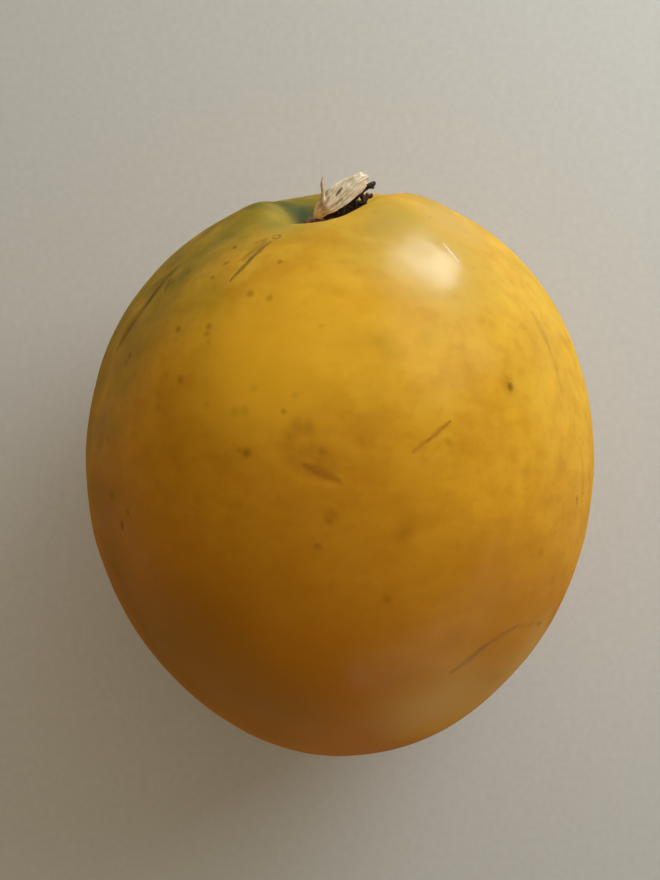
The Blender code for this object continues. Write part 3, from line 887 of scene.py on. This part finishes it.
def makeCalyx():
    profile = makeProfile()
    chance = random.Random(calyxSettings["seed"])
    pieces = []
    for number, (stations, tilt, ragged) in enumerate(calyxSettings["strips"]):
        placed = fromPicture(stations)
        tilts = [tilt] * len(placed)
        strip = growCurve(f"strip{number}", placed, tilts, profile)
        tip = placed[-1][0]
        fray(strip, tip, (placed[-2][0] - tip).normalized(), ragged, chance)
        pieces.append(strip)
    pieces.append(growCurve("sliver", fromPicture(calyxSettings["sliver"]), rounded=2))
    pieces.append(growCurve("cup", fromPicture(calyxSettings["cup"]), rounded=4))
    calyx = joinPieces(pieces, "dryCalyx")
    bpy.data.objects.remove(profile)
    subdivide(calyx, 1)
    roughen(calyx, calyxSettings["reliefs"])
    return calyx


def makePaper(calyx):
    material, tree, shader = newMaterial("dryPaper")
    paper = paperSettings
    point = addNode(tree, "ShaderNodeTexCoord", (-6, 0)).outputs["Object"]
    rotation = (0.0, 0.0, math.radians(paper["grain"]))
    turned = addNode(tree, "ShaderNodeMapping", (-5, 0), {"Vector": point, "Rotation": rotation}).outputs[0]
    stretch = {"Vector": turned, "Scale": paper["stretch"]}
    stretched = addNode(tree, "ShaderNodeMapping", (-4, 0), stretch).outputs[0]
    fibres = patchy(tree, (-3, 0), stretched, paper["fibres"])
    colour = mixColour(tree, (-2, 1), fibres, *paper["fibreColours"])
    for row, (name, where) in enumerate((("bands", stretched), ("stains", point))):
        look, strength, paint = paper[name]
        mask = patchy(tree, (-3, -1 - row), where, look)
        share = doMath(tree, "MULTIPLY", (-2 + row, -1 - row), mask, strength)
        colour = mixColour(tree, (-1 + row, 1), share, colour, paint)
    where, radius, strength = paper["foot"]
    settings = {
        "Point": point,
        "Middle": tuple(photoPoint(*where)),
        "Radius": radius * mm,
        "Softness": 0.8,
        "Strength": strength,
    }
    foot = useGroup(tree, spotGroup, (-3, -3), settings)
    # the foot is painted lighter to stand in for light on the shaded cup
    share = doMath(tree, "MULTIPLY", (0, -3), foot, 0.85)
    colour = mixColour(tree, (1, 1), share, colour, paper["footPinkAndPaintedLight"])
    first, last, width, strength = paper["sliver"]
    settings = {
        "Point": point,
        "Start": tuple(photoPoint(*first)),
        "End": tuple(photoPoint(*last)),
        "Width": width * mm,
        "Strength": strength,
    }
    tan = useGroup(tree, scratchGroup, (1, -1), settings)
    colour = mixColour(tree, (2, 1), tan, colour, paper["sliverColour"])
    # painted shade lines and painted gleams on the strips
    for number, (*line, paint) in enumerate(calyxSettings["shadeAndGleamLines"]):
        mask = drawLine(tree, (2, 2 + number), calyx, point, line)
        colour = mixColour(tree, (3 + number, 1), mask, colour, calyxSettings[paint])
    tree.links.new(colour, shader.inputs["Base Color"])
    shader.inputs["Roughness"].default_value = paper["roughness"]
    tree.links.new(addBump(tree, (2, -2), fibres, 0.7, 0.2), shader.inputs["Normal"])
    return material


def makeCorona():
    pieces = [
        growCurve(f"thread{number}", fromPicture(stations), rounded=2)
        for number, stations in enumerate(coronaSettings["threads"])
    ]
    chance = random.Random(coronaSettings["seed"])
    small, large = coronaSettings["crumbSize"]
    scatter = coronaSettings["scatter"]
    band = fromPicture(coronaSettings["threads"][0]) + fromPicture(coronaSettings["threads"][1][1:4])
    for number in range(coronaSettings["crumbs"]):
        first = chance.randrange(len(band) - 1)
        place = band[first][0].lerp(band[first + 1][0], chance.random())
        place = place + Vector([chance.uniform(-scatter, scatter) for axis in range(3)]) * mm
        clearSelection()
        bpy.ops.mesh.primitive_ico_sphere_add(
            subdivisions=2, radius=chance.uniform(small, large) * mm, location=place
        )
        crumb = bpy.context.object
        crumb.scale = [chance.uniform(*coronaSettings["crumbStretch"]) for axis in range(3)]
        crumb.rotation_euler = [chance.uniform(0, 3) for axis in range(3)]
        bpy.ops.object.transform_apply(location=True, rotation=True, scale=True)
        pieces.append(crumb)
    corona = joinPieces(pieces, "dryCorona")
    subdivide(corona, 1)
    roughen(corona, coronaSettings["reliefs"])
    return corona


def makeThreadSkin():
    dark, tree, shader = newMaterial("darkThread")
    point = addNode(tree, "ShaderNodeTexCoord", (-5, 0)).outputs["Object"]
    look, rustColour = coronaSettings["rust"]
    rust = patchy(tree, (-3, 0), point, look)
    look, strength, dustColour = coronaSettings["dust"]
    dust = patchy(tree, (-3, -1), point, look)
    colour = mixColour(tree, (-2, 1), rust, coronaSettings["dark"], rustColour)
    share = doMath(tree, "MULTIPLY", (-2, -1), dust, strength)
    colour = mixColour(tree, (-1, 1), share, colour, dustColour)
    tree.links.new(colour, shader.inputs["Base Color"])
    shader.inputs["Roughness"].default_value = coronaSettings["roughness"]
    tree.links.new(addBump(tree, (1, -2), dust, 0.6, 0.1), shader.inputs["Normal"])
    return dark


def makeStalk():
    stations = [(middlePoint(x, y, z), halfWidth) for x, y, z, halfWidth in stalkSettings["stations"]]
    stalk = growCurve("stalkStub", stations, rounded=4)
    subdivide(stalk, 2)
    roughen(stalk, stalkSettings["reliefs"])
    pick(stalk)
    bpy.ops.object.shade_smooth()
    return stalk


def makeBark():
    bark, tree, shader = newMaterial("stalkSkin")
    point = addNode(tree, "ShaderNodeTexCoord", (-5, 0)).outputs["Object"]
    crust = patchy(tree, (-3, 0), point, stalkSettings["crustPatches"])
    colour = mixColour(tree, (-1, 1), crust, stalkSettings["colour"], stalkSettings["crust"])
    tree.links.new(colour, shader.inputs["Base Color"])
    shader.inputs["Roughness"].default_value = stalkSettings["roughness"]
    tree.links.new(addBump(tree, (1, -2), crust, 0.5, 0.1), shader.inputs["Normal"])
    return bark


finishPiece(makeStalk(), makeBark(), "stalk")
dryCalyx = makeCalyx()
finishPiece(dryCalyx, makePaper(dryCalyx), "dry_calyx")
finishPiece(makeCorona(), makeThreadSkin(), "dry_corona")


# Floor and light
studioSettings = {
    "floor": (0.70, 0.70, 0.70),
    "floorSize": 16.0,  # metres
    "floorGrain": (1.2, 3.0, 0.3, 0.7),
    "grainShade": 0.96,
    # bearing and height of each light in degrees, how far away and how large in metres
    "window": {
        "bearing": 63.2, "height": 5.2, "away": 0.55, "size": (0.21, 0.16), "power": 3.25,
        "colour": (1.0, 0.99, 0.96), "lights": "gloss",
    },
    "daylight": {
        "bearing": 58, "height": 9, "away": 0.55, "size": (0.2, 0.2), "power": 0.72,
        "colour": (0.96, 0.98, 1.0), "lights": "paint",
    },
    "side": {
        "bearing": 42, "height": 33, "away": 0.3, "size": (0.2, 0.2), "power": 0.47,
        "colour": (0.88, 0.955, 1.0), "lights": "both",
    },
    "far": {
        "bearing": 90, "height": 17, "away": 4.0, "size": (2.4, 2.4), "power": 24.0,
        "colour": (1.0, 0.885, 0.74), "lights": "paint",
    },
    "bounce": {
        "bearing": -54, "height": 1, "away": 0.4, "size": (0.50, 0.16), "power": 0.42,
        "colour": (1.0, 0.95, 0.88), "lights": "gloss",
    },
    "room": ((1.0, 0.80, 0.44), (1.0, 0.86, 0.61)),  # away from the window and towards it
    "roomStrength": (0.10, 0.40),
    "roomBearing": (0.75, -0.28, 0.60),
}


def makeFloor():
    clearSelection()
    bpy.ops.mesh.primitive_plane_add(size=studioSettings["floorSize"], location=(0, 0, 0))
    floor = bpy.context.object
    floor.name = "studioFloor"
    surface, tree, shader = newMaterial("paleFloor")
    point = addNode(tree, "ShaderNodeTexCoord", (-4, 0)).outputs["Object"]
    grain = patchy(tree, (-3, 0), point, studioSettings["floorGrain"])
    tone = studioSettings["floor"]
    darker = tuple(value * studioSettings["grainShade"] for value in tone)
    tree.links.new(mixColour(tree, (-1, 0), grain, darker, tone), shader.inputs["Base Color"])
    shader.inputs["Roughness"].default_value = 0.7
    shader.inputs["Specular IOR Level"].default_value = 0.02
    floor.data.materials.append(surface)


def addLight(name, settings):
    bearing = math.radians(settings["bearing"])
    height = math.radians(settings["height"])
    level = Vector((math.cos(bearing), math.sin(bearing), 0.0))
    toLight = level * math.cos(height) + Vector((0.0, 0.0, math.sin(height)))
    bpy.ops.object.light_add(
        type="AREA",
        location=fruitMiddle + toLight * settings["away"],
        rotation=toLight.to_track_quat("Z", "Y").to_euler(),
    )
    light = bpy.context.object
    light.name = name
    light.data.shape = "RECTANGLE"
    light.data.size, light.data.size_y = settings["size"]
    light.data.energy = settings["power"]
    light.data.color = settings["colour"]
    light.visible_camera = False
    light.visible_diffuse = settings["lights"] != "gloss"
    light.visible_glossy = settings["lights"] != "paint"


def makeRoom():
    world = bpy.data.worlds.new("room")
    world.use_nodes = True
    tree = world.node_tree
    direction = addNode(tree, "ShaderNodeTexCoord", (-4, 0)).outputs["Generated"]
    bearing = studioSettings["roomBearing"]
    towards = vectorMath(tree, "DOT_PRODUCT", (-3, 0), direction, bearing).outputs["Value"]
    strength = mapRange(tree, (-2, 0), towards, -1.0, 1.0, *studioSettings["roomStrength"])
    share = mapRange(tree, (-2, 1), towards, -1.0, 1.0)
    background = tree.nodes["Background"]
    colour = mixColour(tree, (-1, 1), share, *studioSettings["room"])
    putIn(tree, background.inputs["Color"], colour)
    putIn(tree, background.inputs["Strength"], strength)
    scene.world = world


makeFloor()
for lightName in ("window", "daylight", "side", "far", "bounce"):
    addLight(f"{lightName}Light", studioSettings[lightName])
makeRoom()
print("studio made")
